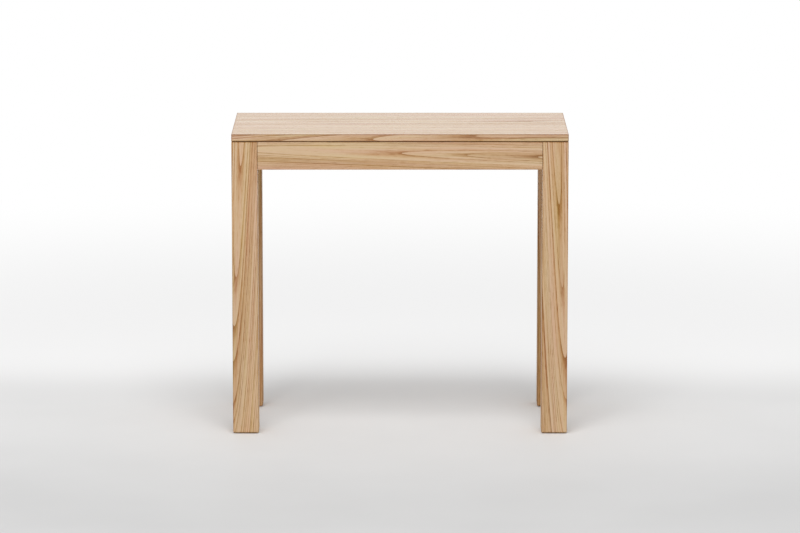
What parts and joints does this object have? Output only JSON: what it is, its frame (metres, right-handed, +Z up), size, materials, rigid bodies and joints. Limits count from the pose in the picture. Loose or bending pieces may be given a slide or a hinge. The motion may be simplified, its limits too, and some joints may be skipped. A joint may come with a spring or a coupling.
{
  "type": "extendable console table",
  "caption": "Console table with a flat top, square legs and flush aprons; the rear leg frame slides out on telescoping rails that carry loose leaves.",
  "frame": {"origin": "centre of the closed table's footprint, on the floor", "axes": "+X along the width, to the right seen from the front; +Y to the rear, the way the rear frame slides out; +Z up"},
  "size_m": [0.85, 0.4, 0.77],
  "materials": {
    "veneer_top": "matt veneer, pale",
    "veneer_frame": "matt veneer",
    "bearer_beech": "planed, unfinished",
    "dowel_beech": "raw",
    "rail_aluminium": "mill finish",
    "slider_nylon": "natural nylon",
    "zinc_steel": "zinc plated",
    "black_felt": "dense felt",
    "black_rubber": "matt",
    "glide_plastic": "matt"
  },
  "bodies": {
    "front_frame": {"top_panel": "veneer_top", "front_left_leg": "veneer_frame", "front_right_leg": "veneer_frame", "front_apron": "veneer_frame", "front_dowels": "dowel_beech", "front_cam_bolts": "zinc_steel", "front_cam_locks": "zinc_steel", "front_leg_glides": "glide_plastic", "left_outer_bearer": "bearer_beech", "right_outer_bearer": "bearer_beech", "bearer_screws": "zinc_steel", "top_screws": "zinc_steel", "fixed_rail_screws": "zinc_steel", "left_rail_1": "rail_aluminium", "right_rail_1": "rail_aluminium", "left_rail_1_sliders": "slider_nylon", "right_rail_1_sliders": "slider_nylon", "top_spacers": "black_felt", "closing_bumpers": "black_rubber"},
    "rear_frame": {"rear_left_leg": "veneer_frame", "rear_right_leg": "veneer_frame", "rear_apron": "veneer_frame", "rear_dowels": "dowel_beech", "rear_cam_bolts": "zinc_steel", "rear_cam_locks": "zinc_steel", "rear_leg_glides": "glide_plastic", "left_inner_bearer": "bearer_beech", "right_inner_bearer": "bearer_beech", "cross_batten": "bearer_beech", "corner_brackets": "zinc_steel", "bracket_screws": "zinc_steel", "moving_rail_screws": "zinc_steel", "left_rail_7": "rail_aluminium", "right_rail_7": "rail_aluminium", "left_rail_7_sliders": "slider_nylon", "right_rail_7_sliders": "slider_nylon", "top_glide_pads": "black_felt"},
    "left_stage_2": {"left_rail_2": "rail_aluminium", "left_rail_2_sliders": "slider_nylon"},
    "left_stage_3": {"left_rail_3": "rail_aluminium", "left_rail_3_sliders": "slider_nylon"},
    "left_stage_4": {"left_rail_4": "rail_aluminium", "left_rail_4_sliders": "slider_nylon"},
    "left_stage_5": {"left_rail_5": "rail_aluminium", "left_rail_5_sliders": "slider_nylon"},
    "left_stage_6": {"left_rail_6": "rail_aluminium", "left_rail_6_sliders": "slider_nylon"},
    "right_stage_2": {"right_rail_2": "rail_aluminium", "right_rail_2_sliders": "slider_nylon"},
    "right_stage_3": {"right_rail_3": "rail_aluminium", "right_rail_3_sliders": "slider_nylon"},
    "right_stage_4": {"right_rail_4": "rail_aluminium", "right_rail_4_sliders": "slider_nylon"},
    "right_stage_5": {"right_rail_5": "rail_aluminium", "right_rail_5_sliders": "slider_nylon"},
    "right_stage_6": {"right_rail_6": "rail_aluminium", "right_rail_6_sliders": "slider_nylon"}
  },
  "joints": [
    {"name": "extension", "type": "slide", "parent": "front_frame", "child": "rear_frame", "axis": [0, 1, 0], "range_m": [0, 1.56]},
    {"name": "left_slide_2", "type": "slide", "parent": "front_frame", "child": "left_stage_2", "axis": [0, 1, 0], "range_m": [0, 0.2605]},
    {"name": "left_slide_3", "type": "slide", "parent": "front_frame", "child": "left_stage_3", "axis": [0, 1, 0], "range_m": [0, 0.5205]},
    {"name": "left_slide_4", "type": "slide", "parent": "front_frame", "child": "left_stage_4", "axis": [0, 1, 0], "range_m": [0, 0.7805]},
    {"name": "left_slide_5", "type": "slide", "parent": "front_frame", "child": "left_stage_5", "axis": [0, 1, 0], "range_m": [0, 1.0405]},
    {"name": "left_slide_6", "type": "slide", "parent": "front_frame", "child": "left_stage_6", "axis": [0, 1, 0], "range_m": [0, 1.3005]},
    {"name": "right_slide_2", "type": "slide", "parent": "front_frame", "child": "right_stage_2", "axis": [0, 1, 0], "range_m": [0, 0.2605]},
    {"name": "right_slide_3", "type": "slide", "parent": "front_frame", "child": "right_stage_3", "axis": [0, 1, 0], "range_m": [0, 0.5205]},
    {"name": "right_slide_4", "type": "slide", "parent": "front_frame", "child": "right_stage_4", "axis": [0, 1, 0], "range_m": [0, 0.7805]},
    {"name": "right_slide_5", "type": "slide", "parent": "front_frame", "child": "right_stage_5", "axis": [0, 1, 0], "range_m": [0, 1.0405]},
    {"name": "right_slide_6", "type": "slide", "parent": "front_frame", "child": "right_stage_6", "axis": [0, 1, 0], "range_m": [0, 1.3005]}
  ],
  "couplings": [
    {"joint": "left_slide_2", "follows": "extension", "ratio": 0.16667},
    {"joint": "left_slide_3", "follows": "extension", "ratio": 0.33333},
    {"joint": "left_slide_4", "follows": "extension", "ratio": 0.5},
    {"joint": "left_slide_5", "follows": "extension", "ratio": 0.66667},
    {"joint": "left_slide_6", "follows": "extension", "ratio": 0.83333},
    {"joint": "right_slide_2", "follows": "extension", "ratio": 0.16667},
    {"joint": "right_slide_3", "follows": "extension", "ratio": 0.33333},
    {"joint": "right_slide_4", "follows": "extension", "ratio": 0.5},
    {"joint": "right_slide_5", "follows": "extension", "ratio": 0.66667},
    {"joint": "right_slide_6", "follows": "extension", "ratio": 0.83333}
  ]
}
